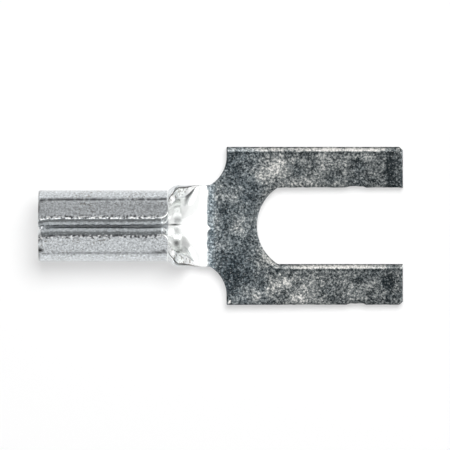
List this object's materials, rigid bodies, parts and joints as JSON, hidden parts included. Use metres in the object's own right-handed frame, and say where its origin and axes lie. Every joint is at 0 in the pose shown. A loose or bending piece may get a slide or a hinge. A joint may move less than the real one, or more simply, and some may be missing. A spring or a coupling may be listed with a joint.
{
  "type": "fork terminal",
  "caption": "Bare tin-plated copper fork terminal with a butted-seam crimp barrel, an open trough neck and a flat forked tongue.",
  "frame": {"origin": "axis of a stud pushed home in the slot, on the tongue's underside", "axes": "+X from the barrel towards the tine tips, +Z the way the tongue's upper face looks, +Y across the fork"},
  "size_m": [0.021, 0.0092, 0.0042],
  "materials": {
    "tin_plate": "dull mottled tin plate over copper"
  },
  "bodies": {
    "root": {"fork_terminal": "tin_plate"}
  },
  "joints": []
}
